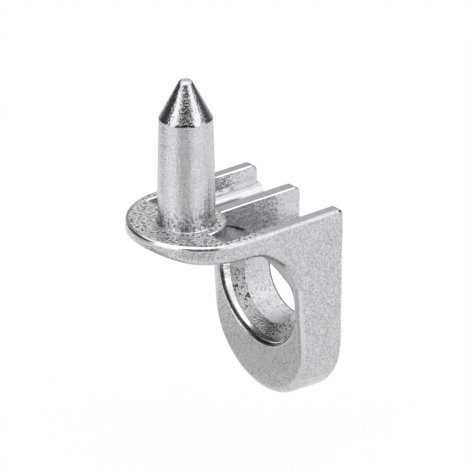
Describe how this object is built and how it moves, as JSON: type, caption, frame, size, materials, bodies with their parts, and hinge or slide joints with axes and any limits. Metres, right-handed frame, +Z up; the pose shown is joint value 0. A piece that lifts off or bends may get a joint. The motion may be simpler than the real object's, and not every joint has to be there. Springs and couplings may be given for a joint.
{
  "type": "shelf support pin",
  "caption": "Cast shelf support: an upright pin for the shelf's hole on a rounded plate, with ribs behind and a drilled tongue that screws to the cabinet wall.",
  "frame": {"origin": "the pin's axis in the plane of the plate's top, where the shelf's underside rests", "axes": "+Z up along the pin, +Y towards the cabinet wall that the back face lies on, X across the width"},
  "size_m": [0.0128, 0.0169, 0.0317],
  "materials": {
    "nickel_plate": "satin nickel plate over a cast skin"
  },
  "bodies": {
    "root": {"shelf_support": "nickel_plate"}
  },
  "joints": []
}
